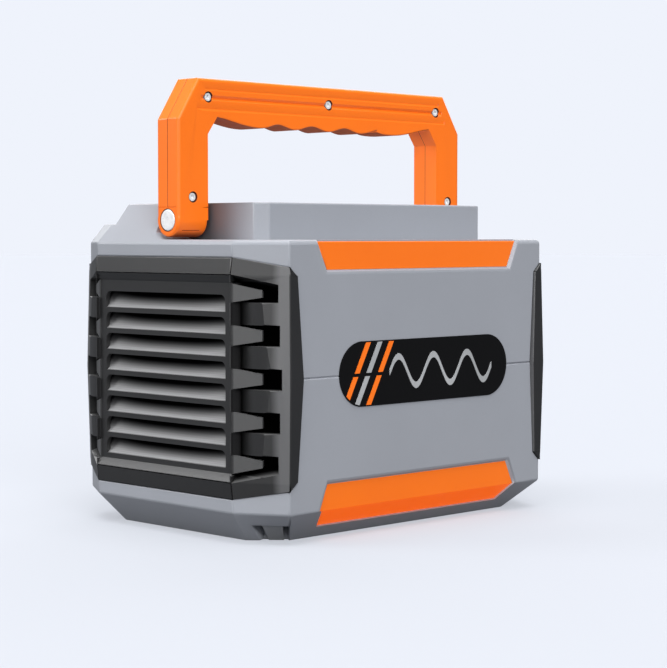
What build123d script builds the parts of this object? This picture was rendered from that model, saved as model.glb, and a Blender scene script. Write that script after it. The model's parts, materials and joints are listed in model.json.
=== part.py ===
from build123d import *
import os
from math import pi, sin, sqrt

# Portable power station with a folding carry handle, in millimetres.
# Origin: centre of the base face.  +Z up, X along the length, -Y is the back
# (badge side), +Y is the front (control panel side).

# ---------------------------------------------------------------- driving dimensions
HALF_LENGTH = 115.0          # end faces at X = +-115
HALF_WIDTH = 81.35           # front and back faces at Y = +-81.35
END_FLAT = 55.25             # half width of the flat end face
SIDE_FLAT = 99.5             # half length of the flat side face
WALL = 2.4                   # housing wall

BASE_RISE = 16.0             # height of the sloping skirt under the belt
BASE_HALF = (101.0, 65.5)    # half length and half width of the base face
BASE_FLAT = (85.5, 49.2)     # half length of its long edges, half width of its short edges
SEAM_Z = 84.85               # joint between upper and lower housing
BELT_TOP = 153.7             # top of the vertical walls
SHELF_Z = 155.5              # ledge that the folded handle lies on
SHELF_INSET = 1.6            # bevel between wall and ledge
FRONT_TOP = 164.0            # top of the taller front half
BLOCK_TOP = 175.0            # top of the raised block
BLOCK_HALF = 88.5            # end walls of the raised block
BLOCK_BACK = -48.5           # back wall of the raised block
BLOCK_FRONT = 50.0
BLOCK_CORNER = 5.5
SLOPE_TOP = 97.4             # where the end slopes meet the top

PIVOT_Z = 165.8              # handle pivot axis, at Y = 0
PIN_R = 3.0
PIN_CLEARANCE = 0.05
HANDLE_HALF = 111.0          # outside of the legs
HANDLE_INNER = 90.5          # inside of the legs
HANDLE_T = 18.0              # handle thickness
HANDLE_TOP = 241.0
HANDLE_SHOULDER = 219.0      # where the outer corners start
HANDLE_TOP_FLAT = 97.0       # half length of the flat top
GRIP_Z = 217.2               # mean height of the finger grip's underside
GRIP_WAVE = 1.2
FINGER_PITCH = 26.0
KNUCKLE_TOP = 172.5

FRAME_TOP = 146.5            # grille frame, on the end face
FRAME_CORNER_Z = 141.6       # where its edge crosses the side corner
WING_X = (94.4, 91.5)        # wing outline on the side face: ends, middle
WING_Z = 136.7
LIP_Z = 137.6                # inner edge of the frame's lip
EDGE_PROUD = 0.3             # frame stands out at its outer edge
LIP_PROUD = 1.3              # and at the lip's inner edge
LIP_SWELL = 1.0              # sideways, at the lip
BULGE = 2.3                  # sideways, at mid height
PANEL_TOP = 133.6            # top of the louvre panel
PANEL_SINK = 1.0             # louvre panel below the end face
PANEL_HALF_WIDTH = 54.6
NOTCH_PITCH = 22.1
NOTCH_H = 10.7
NOTCH_REACH = (27.0, 25.8, 24.8)   # along the corner: middle, next, outermost
NOTCH_DEPTH = 10.0
TOOTH_REACH = 15.7
TOOTH_TIP = 5.5
COVE_REACH = 25.0            # rounded bridges between the notches
COVE_DEPTH = 8.0
LIP_FALL = 0.4017            # lip edges fall towards the side, per mm of X
LOUVRES = 8
LOUVRE_PITCH = 11.4
LOUVRE_OPEN = 8.8
LOUVRE_TOP = 127.5
LOUVRE_HALF = 49.0
LOUVRE_BAR = 2.4             # thickness of the bars between the openings
LOUVRE_POCKET = 1.4          # the blades' pocket behind the bars is this much wider
LOUVRE_ROUND = 3.6
BLADE_DEPTH = 5.6            # scooped blades: depth, rise and thickness
BLADE_RISE = 9.2
BLADE_T = 0.8
BLADE_STEPS = 8

FAN_SIZE = 80.0
FAN_X = (-106.5, -86.5)
FAN_BORE = 38.0
FAN_HUB_R = 15.5
FAN_SPIDER = 2.5             # depth of the arms that carry the hub
FAN_SCREW_R = 2.1
FAN_SCREW_INSET = 4.5
FAN_SHAFT_R = 1.5
FAN_BLADES = 7
BLADE_SIZE = (1.8, 14.0, 22.0)
BLADE_CENTRE_R = 25.5
BLADE_TWIST = 38.0

TRIM_DEPTH = 2.6             # recesses that hold the orange trims
TRIM_SINK = 1.5              # trim faces below the housing's surface
LOW_TRIM_END = 7.0
LANE_REACH = 11.5            # lane of a folded handle leg
LANE_ROUND = 7.5
SLOPE_TOP_Y = 50.4
FOOT_POCKET = [(108, 60.5), (96.5, 79.0), (83.0, 62.5), (91.5, 53.5)]
FOOT_POCKET_TOP = 9.3
FOOT_BLOCK = [(104, 63.2), (98, 73.5), (85.2, 62.0), (90.6, 56.2)]
SCREW_WELL_R = 3.4
SCREW_HEAD_Z = 72.0
SCREW_POST_R = (5.2, 4.4)    # lower, upper
PIN_HEAD_R = 5.7
BOSS_R = 7.0
TONGUE_X = (-107.2, -95.0)   # laps of the shells over the knuckle
TONGUE_BACK = 4.2
TONGUE_LOW = 160.2
HANDLE_WALL = 3.0
HANDLE_HOLLOW_Z = (223.0, 238.0)
LEG_HOLLOW_X = (-107.5, -94.0)
LEG_HOLLOW_Z = (183.0, 212.0)
GROOVES = [(235.8, 92.5), (230.6, 95.3), (225.4, 98.0)]    # height, half length
GROOVE_DEPTH = 1.1
GROOVE_HALF = 1.5
HANDLE_SCREWS = [(-90, 231.1), (0, 231.1), (90, 231.1), (-101, 178.0), (101, 178.0)]
HANDLE_SCREW_WELL = (2.8, 2.2)      # radius, depth
HANDLE_HEAD_R = 2.15
HANDLE_HEAD_SINK = 0.6
SCREW_SHANK_R = 1.5

BADGE_CENTRE = (2.5, 85.3)
BADGE_SIZE = (134.0, 34.3)
BADGE_T = 0.5
BADGE_RIM = 0.7
PRINT_T = 0.3                # raised print on the badge
STRIPE_START = -53.6
STRIPE_PITCH = 8.8
STRIPE_W = 3.4
STRIPE_HALF_H = 17.5
STRIPE_LEAN = 0.53
STRIPE_GAP = 1.8             # the stripes are split at the seam's height
WAVE_RUN = (-27.0, 56.0)
WAVE_PERIODS = 3
WAVE_HEIGHT = 8.0
WAVE_HALF = 1.7

FRONT_HALF = 84.0            # front panel
FRONT_Z = (27.0, 149.0)
FRONT_FACE = 80.6
FRONT_BACK = 76.4
PANEL_SCREW_X = 79.5
PANEL_SCREW_INSET = 4.5
SCREW_POSTS = [(x, y) for x in (-78, 78) for y in (-56, 56)]
CORNERS = [(sx, sy) for sx in (-1, 1) for sy in (-1, 1)]

IO_BOARD_Y = 66.4            # front face of the board behind the sockets
DISPLAY_BOARD_Y = 68.6
BUTTON_R = 6.0
BUTTONS = {"power_button": (48, 124), "light_button": (68, 124), "ac_button": (-40, 92),
           "dc_button": (22, 92)}
DISPLAY = (0, 124)
LAMP = (-58, 124)
AC_OUTLETS = [(-57, 58), (-18, 58)]
USB_A = [(50, 92), (70, 92)]
USB_C = [(50, 76), (70, 76)]
DC_JACKS = [(50, 58), (70, 58)]
CHARGE_JACK = (60, 40)
CAR_SOCKET = (20, 54)
CAP_HINGE_Y = 82.15
CAP_HINGE_RISE = 17.0        # hinge above the socket's axis
CAP_PIN_R = 0.7
PANEL_CUTS = [(62, 34, 3, 0, 124), (38, 20, 4, -58, 124), (14.0, 6.6, 1.0, 50, 92), (14.0, 6.6, 1.0, 70, 92),
              (10.4, 4.6, 1.9, 50, 76), (10.4, 4.6, 1.9, 70, 76), (34, 38, 4, -57, 58), (34, 38, 4, -18, 58)]
SWITCH_Y = 72.8
AC_SLOT_SPREAD = 6.4

CELL_R = 10.5
CELL_PITCH = 22.0
CELL_FIRST = (-55.0, -47.5)
CELL_ROWS = (6, 4)
CELL_Z = 6.0
CELL_H = 70.0
HOLDER_T = 6.0
BATTERY_X = 67.0
BATTERY_Y = (-59.5, 30.5)
PCB_T = 1.6
SINK_Z = 91.6                # top of the inverter board
SINK_FINS = 11

MID_Z = SEAM_Z
parts = {}


# ---------------------------------------------------------------- helpers
def outline(points):
    return make_face(Polyline(*points, close=True))


def octagon(half_x, half_y, flat_x, flat_y, z):
    """Rectangle with cut corners, at height z."""
    quarter = [(half_x, flat_y), (flat_x, half_y)]
    points = quarter + [(-x, y) for x, y in reversed(quarter)]
    points += [(-x, -y) for x, y in quarter] + [(x, -y) for x, y in reversed(quarter)]
    return Pos(0, 0, z) * outline(points)


def belt(inset, z):
    """The housing's plan, moved inwards by inset."""
    cut = inset * 0.45
    return octagon(HALF_LENGTH - inset, HALF_WIDTH - inset, SIDE_FLAT - cut, END_FLAT - cut, z)


def base(inset, z):
    """The base face's plan, moved inwards by inset."""
    cut = inset * 0.45
    return octagon(BASE_HALF[0] - inset, BASE_HALF[1] - inset, BASE_FLAT[0] - cut,
                   BASE_FLAT[1] - cut, z)


def box(x, y, z):
    """Box from three (low, high) pairs."""
    size = (x[1] - x[0], y[1] - y[0], z[1] - z[0])
    return Pos((x[0] + x[1]) / 2, (y[0] + y[1]) / 2, (z[0] + z[1]) / 2) * Box(*size)


def rod(radius, start, length, axis="Z"):
    """Cylinder that starts at a point and runs along +X, +Y or +Z."""
    turn = {"X": Rot(0, 90, 0), "Y": Rot(-90, 0, 0), "Z": Rot(0, 0, 0)}[axis]
    bottom = (Align.CENTER, Align.CENTER, Align.MIN)
    return Pos(*start) * turn * Cylinder(radius, length, align=bottom)


def xz_prism(points, y):
    """Outline in the XZ plane, running through Y from y[0] to y[1]."""
    face = Plane.XZ.offset(-y[1]) * outline(points)
    return extrude(face, amount=y[1] - y[0])


def yz_prism(points, x):
    """Outline in the YZ plane, running through X from x[0] to x[1]."""
    face = Plane.YZ.offset(x[0]) * outline(points)
    return extrude(face, amount=x[1] - x[0])


def rounded_plate(width, height, radius, depth, centre, y):
    """Plate with round corners facing Y, its back at y."""
    face = Plane.XZ.offset(-(y + depth)) * Pos(*centre) * RectangleRounded(width, height, radius)
    return extrude(face, amount=depth)


def both_ends(shape):
    return shape, mirror(shape, about=Plane.YZ)


def keep(name, shape):
    parts[name] = shape


# ---------------------------------------------------------------- housing
def frame_profile():
    """Outline of the grille frame seen from the side, left end."""
    upper = [(-HALF_LENGTH - 12, FRAME_TOP + 3.8), (-HALF_LENGTH, FRAME_TOP),
             (-SIDE_FLAT, FRAME_CORNER_Z), (-WING_X[0], WING_Z), (-WING_X[1], MID_Z)]
    lower = [(x, 2 * MID_Z - z) for x, z in reversed(upper[:-1])]
    return xz_prism(upper + lower, (-HALF_WIDTH - 12, HALF_WIDTH + 12))


def trim_cut(outer, inner, depth):
    """Bevelled recess in the back face between two outlines."""
    outer_face = Plane.XZ.offset(HALF_WIDTH) * outline(outer)
    inner_face = Plane.XZ.offset(HALF_WIDTH - depth) * outline(inner)
    return loft([outer_face, inner_face], ruled=True) + extrude(outer_face, amount=3)


def top_trim_cut():
    top = SHELF_Z + 0.6
    return trim_cut([(-80.8, top), (80.8, top), (73, 138.4), (-73, 138.4)],
                    [(-78.4, top), (78.4, top), (71, 140.8), (-71, 140.8)], TRIM_DEPTH)


def low_trim_cut():
    """Recess that folds over the edge between wall and skirt."""
    flat = trim_cut([(-72.5, 31), (72.5, 31), (79, BASE_RISE), (-79, BASE_RISE)],
                    [(-70.5, 28.6), (70.5, 28.6), (77, BASE_RISE), (-77, BASE_RISE)], TRIM_DEPTH)
    low = LOW_TRIM_END
    back = HALF_WIDTH - (HALF_WIDTH - BASE_HALF[1]) * (BASE_RISE - low) / BASE_RISE
    section = [(-HALF_WIDTH - 1, BASE_RISE), (-HALF_WIDTH + TRIM_DEPTH, BASE_RISE),
               (-back + TRIM_DEPTH + 0.3, low + 0.3), (-back - 1.2, low - 1.2)]
    sides = xz_prism([(-77, BASE_RISE), (77, BASE_RISE), (71, 5.0), (-71, 5.0)], (-HALF_WIDTH - 5, -40))
    return flat + (yz_prism(section, (-90, 90)) & sides)


def lower_solid(inset, floor, top):
    skirt = loft([base(inset, floor), belt(inset, BASE_RISE)], ruled=True)
    return skirt + extrude(belt(inset, BASE_RISE), amount=top - BASE_RISE)


def foot_plan(sx, sy, points):
    return outline([(sx * x, sy * y) for x, y in points])


def lower_housing():
    inner = lower_solid(WALL, WALL, SEAM_Z + 1)
    for sx, sy in CORNERS:
        inner -= box(sorted((sx * 79, sx * 120)), sorted((sy * 49, sy * 90)), (0, 11.7))
    near = box((-82, 82), (-HALF_WIDTH, 0), (0, 33.5))
    inner = (inner - near) + (lower_solid(TRIM_DEPTH + WALL, WALL, SEAM_Z) & near)
    body = lower_solid(0, 0, SEAM_Z) - inner
    for x, y in SCREW_POSTS:
        body += rod(SCREW_POST_R[0], (x, y, 0.5), SEAM_Z - 0.5)
        body -= rod(SCREW_WELL_R, (x, y, -1), SCREW_HEAD_Z + 1)
        body -= rod(1.6, (x, y, SCREW_HEAD_Z - 1), 40)
    for sx, sy in CORNERS:
        body -= extrude(foot_plan(sx, sy, FOOT_POCKET), amount=FOOT_POCKET_TOP)
    return body - low_trim_cut() - front_opening()


def front_opening():
    return box((-FRONT_HALF, FRONT_HALF), (70, 90), FRONT_Z)


def top_shell(inset):
    """Raised half and block of the upper housing, shrunk by inset."""
    def shrunk(points):
        return [(x - inset * (1 if x > 0 else -1), min(y, HALF_WIDTH - inset)) for x, y in points]

    corner_x = SLOPE_TOP - (HALF_WIDTH - SLOPE_TOP_Y) * (HALF_LENGTH - SIDE_FLAT) / (HALF_WIDTH - END_FLAT)
    low = [(-HALF_LENGTH, 0), (-HALF_LENGTH, END_FLAT), (-SIDE_FLAT, HALF_WIDTH),
           (SIDE_FLAT, HALF_WIDTH), (HALF_LENGTH, END_FLAT), (HALF_LENGTH, 0)]
    high = [(-SLOPE_TOP, 0), (-SLOPE_TOP, SLOPE_TOP_Y), (-corner_x, HALF_WIDTH),
            (corner_x, HALF_WIDTH), (SLOPE_TOP, SLOPE_TOP_Y), (SLOPE_TOP, 0)]
    rise = loft([Pos(0, 0, BELT_TOP - inset) * outline(shrunk(low)),
                 Pos(0, 0, BLOCK_TOP - inset) * outline(shrunk(high))], ruled=True)
    rise -= box((-130, 130), (BLOCK_FRONT - inset, 100), (FRONT_TOP - inset, 200))
    side = BLOCK_HALF - inset
    back = BLOCK_BACK + inset
    block = outline([(-side, 1), (-side, back + BLOCK_CORNER), (-side + BLOCK_CORNER, back),
                     (side - BLOCK_CORNER, back), (side, back + BLOCK_CORNER), (side, 1)])
    return rise + Pos(0, 0, 150) * extrude(block, amount=BLOCK_TOP - inset - 150)


def leg_pocket(grow=0.0):
    """Lane that a handle leg folds down into, with its rounded far end, left end."""
    reach = LANE_REACH + grow
    face = Pos(reach - 50, SHELF_Z - grow + 20) * Rectangle(100, 40)
    solid = extrude(Plane.YZ.offset(-130) * face, amount=130 - BLOCK_HALF + grow)
    edge = solid.edges().filter_by(Axis.X).sort_by(Axis.Z)[:2].sort_by(Axis.Y)[-1:]
    return fillet(edge, LANE_ROUND)


def pivot_boss():
    boss = rod(BOSS_R, (-BLOCK_HALF + 0.5, 0, PIVOT_Z), 12.0, "X")
    return boss & box((-130, 130), (-20, 20), (0, BLOCK_TOP - 1))


def upper_housing():
    outer = extrude(belt(0, SEAM_Z), amount=BELT_TOP - SEAM_Z)
    outer += loft([belt(0, BELT_TOP), belt(SHELF_INSET, SHELF_Z)], ruled=True)
    outer += top_shell(0)
    high = top_shell(WALL)
    for cut, wide in zip(both_ends(leg_pocket()), both_ends(leg_pocket(WALL))):
        outer -= cut
        high -= wide
    inner = extrude(belt(WALL, SEAM_Z - 1), amount=SHELF_Z - WALL - SEAM_Z + 1) + high
    inner -= box((-84, 84), (-HALF_WIDTH, -HALF_WIDTH + TRIM_DEPTH + WALL), (136, 160))
    body = outer - inner
    for x, y in SCREW_POSTS:
        top = SHELF_Z - 1 if y < 0 else FRONT_TOP - 1
        body += rod(SCREW_POST_R[1], (x, y, SEAM_Z), top - SEAM_Z)
        body -= rod(1.55, (x, y, SEAM_Z - 1), 16)
    for boss in both_ends(pivot_boss()):
        body += boss
    for hole in both_ends(rod(PIN_R, (-BLOCK_HALF - 2, 0, PIVOT_Z), 11, "X")):
        body -= hole
    return body - top_trim_cut() - front_opening()


def housings():
    for name, build in (("upper_housing", upper_housing), ("lower_housing", lower_housing)):
        body = build()
        for cut in both_ends(frame_profile()):
            body -= cut
        keep(name, body)


def housing_screws():
    screws = []
    for x, y in SCREW_POSTS:
        screw = rod(3.0, (x, y, SCREW_HEAD_Z - 2.5), 2.5) + rod(1.5, (x, y, SCREW_HEAD_Z), 26)
        screws.append(screw - rod(1.4, (x, y, SCREW_HEAD_Z - 3), 1.8))
    keep("housing_screws", Compound(children=screws))


def feet():
    blocks = []
    for sx, sy in CORNERS:
        block = extrude(foot_plan(sx, sy, FOOT_BLOCK), amount=FOOT_POCKET_TOP)
        blocks.append(block & lower_solid(1.6, 0, 30))
    keep("rubber_feet", Compound(children=blocks))


# ---------------------------------------------------------------- trims and badge
def trims():
    face = -HALF_WIDTH + TRIM_SINK
    keep("top_trim", top_trim_cut() & box((-90, 90), (face, 0), (130, 154.6)))
    strip = low_trim_cut() & lower_solid(TRIM_SINK, 0, 60)
    keep("lower_back_trim", strip)


def badge():
    width, height = BADGE_SIZE
    back = -HALF_WIDTH - BADGE_T
    keep("badge_plate", rounded_plate(width, height, height / 2 - 0.05, BADGE_T, BADGE_CENTRE, back))
    rim = 2 * BADGE_RIM
    pill = rounded_plate(width - rim, height - rim, (height - rim) / 2 - 0.05, PRINT_T, BADGE_CENTRE,
                         back - PRINT_T)
    pill -= box((-100, 100), (-100, 0), (SEAM_Z - STRIPE_GAP / 2, SEAM_Z + STRIPE_GAP / 2))
    stripes = [stripe(i) & pill for i in range(3)]
    keep("badge_stripes_orange", Compound(children=stripes[0].solids() + stripes[2].solids()))
    keep("badge_stripe_grey", Compound(children=stripes[1].solids()))
    keep("badge_wave", extrude(Plane.XZ.offset(-back) * sine_wave(), amount=PRINT_T))


def stripe(i):
    """Slanting stripe number i, taller than the badge."""
    x = STRIPE_START + i * STRIPE_PITCH
    low, high = BADGE_CENTRE[1] - STRIPE_HALF_H, BADGE_CENTRE[1] + STRIPE_HALF_H
    slant = STRIPE_HALF_H * STRIPE_LEAN
    points = [(x - slant, low), (x + STRIPE_W - slant, low), (x + STRIPE_W + slant, high), (x + slant, high)]
    return xz_prism(points, (-HALF_WIDTH - 2, -HALF_WIDTH))


def sine_wave():
    """Band of even height along a sine curve."""
    start, end = WAVE_RUN
    turns = 2 * pi * WAVE_PERIODS
    steps = 12 * WAVE_PERIODS
    middle = []
    for i in range(steps + 1):
        t = i / steps
        middle.append((start + (end - start) * t, BADGE_CENTRE[1] + WAVE_HEIGHT * sin(turns * t)))
    top_edge = Spline(*[(x, z + WAVE_HALF) for x, z in middle])
    low_edge = Spline(*[(x, z - WAVE_HALF) for x, z in middle])
    ends = [Line(low_edge @ t, top_edge @ t) for t in (0, 1)]
    return make_face([top_edge, ends[1], low_edge, ends[0]])


# ---------------------------------------------------------------- grille ends
def swollen(end, side, z):
    """The housing's plan with its end moved out by end, its corners and sides by side."""
    run = HALF_LENGTH - SIDE_FLAT
    rise = HALF_WIDTH - END_FLAT
    length = sqrt(run * run + rise * rise)
    normal = (rise / length, run / length)
    flat_y = END_FLAT + (side - normal[0] * end) / normal[1]
    flat_x = SIDE_FLAT + side * (1 - normal[1]) / normal[0]
    return octagon(HALF_LENGTH + end, HALF_WIDTH + side, flat_x, flat_y, z)


def corner_plane():
    """Plane of the near corner facet, left end: local x along it, z outwards."""
    run = HALF_LENGTH - SIDE_FLAT
    rise = HALF_WIDTH - END_FLAT
    length = sqrt(run * run + rise * rise)
    return Plane(origin=(-HALF_LENGTH, -END_FLAT, MID_Z), x_dir=(run / length, -rise / length, 0),
                 z_dir=(-rise / length, -run / length, 0))


def on_corner(along, depth):
    point = corner_plane().from_local_coords(Vector(along, 0, -depth))
    return (point.X, point.Y)


def both_sides(shape):
    return shape, mirror(shape, about=Plane.XZ)


def lip_limit(lower=0.0):
    """Space between the lip's falling edges, on the corners."""
    def edge(x):
        return LIP_Z - lower - LIP_FALL * (x + HALF_LENGTH)

    ends = (-HALF_LENGTH - 12, -92)
    points = [(x, edge(x)) for x in ends] + [(x, 2 * MID_Z - edge(x)) for x in reversed(ends)]
    return xz_prism(points, (-HALF_WIDTH - 9, HALF_WIDTH + 9))


def cove_cut():
    """Takes the corner down in a rounded slope from the side strip to the louvre panel."""
    start = on_corner(COVE_REACH, -BULGE - 0.1)
    end = on_corner(0, COVE_DEPTH)
    drop = COVE_DEPTH + BULGE + 0.1
    radius = (COVE_REACH ** 2 + drop ** 2) / (2 * drop)
    centre = on_corner(COVE_REACH, radius - BULGE - 0.1)
    middle_dir = Vector((start[0] + end[0]) / 2 - centre[0], (start[1] + end[1]) / 2 - centre[1])
    middle = Vector(*centre) + middle_dir.normalized() * radius
    outside = Polyline(end, (-HALF_LENGTH + PANEL_SINK, -END_FLAT + 0.5), (-HALF_LENGTH - 12, -END_FLAT - 3),
                       on_corner(COVE_REACH, -9), start)
    face = make_face([ThreePointArc(start, middle, end), outside])
    return (Pos(0, 0, 20) * extrude(face, amount=130)) & lip_limit()


def notch_cut(row):
    reach = NOTCH_REACH[abs(row)]
    shape = Pos(reach / 2 - 0.5, row * NOTCH_PITCH) * Rectangle(reach + 1, NOTCH_H)
    return extrude(corner_plane().offset(-NOTCH_DEPTH) * shape, amount=NOTCH_DEPTH + 9) & lip_limit()


def grille_frame():
    levels = [(EDGE_PROUD, EDGE_PROUD, 2 * MID_Z - FRAME_TOP), (LIP_PROUD, LIP_SWELL, 2 * MID_Z - LIP_Z),
              (LIP_PROUD, BULGE, MID_Z), (LIP_PROUD, LIP_SWELL, LIP_Z), (EDGE_PROUD, EDGE_PROUD, FRAME_TOP)]
    body = Part()
    for low, high in zip(levels[:-1], levels[1:]):
        body += loft([swollen(*low), swollen(*high)], ruled=True)
    body = body & frame_profile()
    inside = [on_corner(0, 12), on_corner(20, 12), (-94.5, -77.5), (-80, -77.5)]
    inside += [(x, -y) for x, y in reversed(inside)]
    body -= Pos(0, 0, 26) * extrude(outline(inside), amount=2 * (MID_Z - 26))
    face_x = -HALF_LENGTH - LIP_PROUD
    floor_x = -HALF_LENGTH + PANEL_SINK
    upper = [(face_x - 3, LIP_Z + 2.6), (face_x, LIP_Z), (floor_x, PANEL_TOP), (-99, PANEL_TOP)]
    lower = [(x, 2 * MID_Z - z) for x, z in reversed(upper)]
    body -= xz_prism(upper + lower, (-PANEL_HALF_WIDTH - 0.2, PANEL_HALF_WIDTH + 0.2))
    for cut in [cove_cut()] + [notch_cut(row) for row in range(-2, 3)]:
        for side in both_sides(cut):
            body -= side
    return body


def louvre_slot(top):
    """One opening, with rounded upper corners."""
    face = Pos(0, top - LOUVRE_OPEN / 2) * Rectangle(2 * LOUVRE_HALF, LOUVRE_OPEN)
    slot = extrude(Plane.YZ.offset(-HALF_LENGTH - 1) * face, amount=12)
    return fillet(slot.edges().filter_by(Axis.X).sort_by(Axis.Z)[-2:], LOUVRE_ROUND)


def louvre_blade(top):
    """Scooped blade that starts on a bar and rises behind the opening."""
    low = top - LOUVRE_OPEN
    front = -HALF_LENGTH + PANEL_SINK
    upper = []
    for i in range(BLADE_STEPS + 1):
        t = i / BLADE_STEPS
        upper.append((front + 0.3 + BLADE_DEPTH * t, low + BLADE_RISE * t ** 1.7))
    lower = [(x + BLADE_T, z - BLADE_T) for x, z in reversed(upper)]
    half = LOUVRE_HALF + LOUVRE_POCKET + 0.8
    return xz_prism(upper + lower, (-half, half))


def tooth(row):
    """Flat finger on the corner facet, reaching from the panel into a notch."""
    z = row * NOTCH_PITCH
    points = [(-1, z - NOTCH_H / 2), (TOOTH_REACH, z - TOOTH_TIP / 2),
              (TOOTH_REACH, z + TOOTH_TIP / 2), (-1, z + NOTCH_H / 2)]
    finger = extrude(corner_plane().offset(-PANEL_SINK - 2.4) * outline(points), amount=2.4)
    return finger & lip_limit(LIP_Z - PANEL_TOP)


def louvre_panel():
    front = -HALF_LENGTH + PANEL_SINK
    body = box((front, FAN_X[0]), (-PANEL_HALF_WIDTH, PANEL_HALF_WIDTH), (2 * MID_Z - PANEL_TOP, PANEL_TOP))
    tops = [LOUVRE_TOP - i * LOUVRE_PITCH for i in range(LOUVRES)]
    half = LOUVRE_HALF + LOUVRE_POCKET
    body -= box((front + LOUVRE_BAR, FAN_X[0] + 1), (-half, half), (tops[-1] - LOUVRE_OPEN, LOUVRE_TOP + 2))
    for top in tops:
        body -= louvre_slot(top)
    for top in tops:
        body += louvre_blade(top)
    for row in range(-2, 3):
        for side in both_sides(tooth(row)):
            body += side
    return body


def grilles():
    for shape, name in ((grille_frame(), "grille_frame"), (louvre_panel(), "louvre_panel")):
        left, right = both_ends(shape)
        keep(f"left_{name}", left)
        keep(f"right_{name}", right)


# ---------------------------------------------------------------- fans
def fan_frame():
    half = FAN_SIZE / 2
    body = Pos(0, 0, MID_Z) * box(FAN_X, (-half, half), (-half, half))
    body = fillet(body.edges().filter_by(Axis.X), 4)
    start = (FAN_X[0] - 1, 0, MID_Z)
    body -= rod(FAN_BORE, start, 30, "X")
    inner_side = FAN_X[1] - FAN_SPIDER
    body += rod(FAN_HUB_R - 0.5, (inner_side, 0, MID_Z), FAN_SPIDER, "X")
    for angle in (45, 135, 225, 315):
        arm = box((inner_side, FAN_X[1]), (-2.5, 2.5), (13, FAN_BORE + 1))
        body += Pos(0, 0, MID_Z) * Rot(angle, 0, 0) * arm
    body -= rod(FAN_SHAFT_R + PIN_CLEARANCE, (inner_side - 1, 0, MID_Z), 5, "X")
    hole = half - FAN_SCREW_INSET
    for y, z in CORNERS:
        body -= rod(FAN_SCREW_R, (FAN_X[0] - 1, y * hole, MID_Z + z * hole), 30, "X")
    return body


def fan_rotor():
    back = FAN_X[1] - 3.5
    body = rod(FAN_HUB_R, (FAN_X[0] + 2, 0, MID_Z), back - FAN_X[0] - 2, "X")
    body = fillet(body.edges().sort_by(Axis.X)[:1], 2)
    for i in range(FAN_BLADES):
        blade = Pos(FAN_X[0] + 9, 0, BLADE_CENTRE_R) * Rot(0, 0, BLADE_TWIST) * Box(*BLADE_SIZE)
        body += Pos(0, 0, MID_Z) * Rot(i * 360 / FAN_BLADES, 0, 0) * blade
    return body + rod(FAN_SHAFT_R, (back - 1, 0, MID_Z), 3.5, "X")


def fans():
    for shape, name in ((fan_frame(), "fan_frame"), (fan_rotor(), "fan_rotor")):
        left, right = both_ends(shape)
        keep(f"left_{name}", left)
        keep(f"right_{name}", right)


# ---------------------------------------------------------------- handle
def handle_face():
    """Front view of the whole handle, with its wavy finger grip."""
    outer = [(HANDLE_HALF, PIVOT_Z), (HANDLE_HALF, HANDLE_SHOULDER), (HANDLE_TOP_FLAT, HANDLE_TOP),
             (-HANDLE_TOP_FLAT, HANDLE_TOP), (-HANDLE_HALF, HANDLE_SHOULDER), (-HANDLE_HALF, PIVOT_Z)]
    grip_end = 2.5 * FINGER_PITCH
    low_z = GRIP_Z - GRIP_WAVE
    waves = [(i * FINGER_PITCH / 2, GRIP_Z - GRIP_WAVE * (1 if i % 2 == 0 else -1)) for i in range(-4, 5)]
    wave = Spline(*waves, tangents=[(1, 0), (1, 0)])
    inner_x = HANDLE_INNER
    left_rise = Spline((-84, 220.6), (-grip_end, low_z + 1.2), waves[0], tangents=[(1, -0.1), (1, 0)])
    right_rise = Spline(waves[-1], (grip_end, low_z + 1.2), (84, 220.6), tangents=[(1, 0), (1, 0.1)])
    left_leg = Polyline((-inner_x, PIVOT_Z), (-inner_x, 211.5), (-84, 220.6))
    right_leg = Polyline((84, 220.6), (inner_x, 211.5), (inner_x, PIVOT_Z))
    feet_lines = [Line(outer[-1], (-inner_x, PIVOT_Z)), Line((inner_x, PIVOT_Z), outer[0])]
    return make_face([Polyline(*outer), feet_lines[0], left_leg, left_rise, wave, right_rise, right_leg,
                      feet_lines[1]])


def on_outside(edge):
    """True for the edges round the outside of the handle, above the knuckles."""
    middle = edge @ 0.5
    return middle.Z > PIVOT_Z + 1 and (abs(middle.X) > HANDLE_TOP_FLAT or middle.Z > HANDLE_TOP - 1)


def handle_solid():
    half = HANDLE_T / 2
    bar = extrude(Plane.XZ.offset(-half) * handle_face(), amount=HANDLE_T)
    rims = bar.faces().sort_by(Axis.Y)
    edges = rims[0].edges() + rims[-1].edges()
    bar = fillet([edge for edge in edges if edge.geom_type == GeomType.LINE and on_outside(edge)], 2.0)
    rims = bar.faces().sort_by(Axis.Y)
    edges = rims[0].edges() + rims[-1].edges()
    bar = fillet([edge for edge in edges if edge.geom_type != GeomType.LINE], 0.8)
    for end in both_ends(rod(half, (-HANDLE_HALF, 0, PIVOT_Z), HANDLE_HALF - HANDLE_INNER, "X")):
        bar += fillet(end.edges().filter_by(GeomType.CIRCLE), 1.5)
    return bar


def groove_cuts():
    """Three long grooves on each face of the bar."""
    cuts = []
    for z, half_length in GROOVES:
        for y in (-HANDLE_T / 2, HANDLE_T / 2):
            section = [(y - GROOVE_DEPTH, z), (y, z + GROOVE_HALF), (y + GROOVE_DEPTH, z),
                       (y, z - GROOVE_HALF)]
            cuts.append(yz_prism(section, (-half_length, half_length)))
    return cuts


def handle_cavities():
    """Hollows in the bar, between its ribs, and in the legs."""
    inner = HANDLE_T / 2 - HANDLE_WALL
    bar = box((-84, 84), (-inner, inner), HANDLE_HOLLOW_Z)
    for x in (-42, 0, 42):
        bar -= box((x - 4.5, x + 4.5), (-HANDLE_T, HANDLE_T), (200, 250))
    legs = both_ends(box(LEG_HOLLOW_X, (-inner, inner), LEG_HOLLOW_Z))
    return [bar, *legs]


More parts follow.
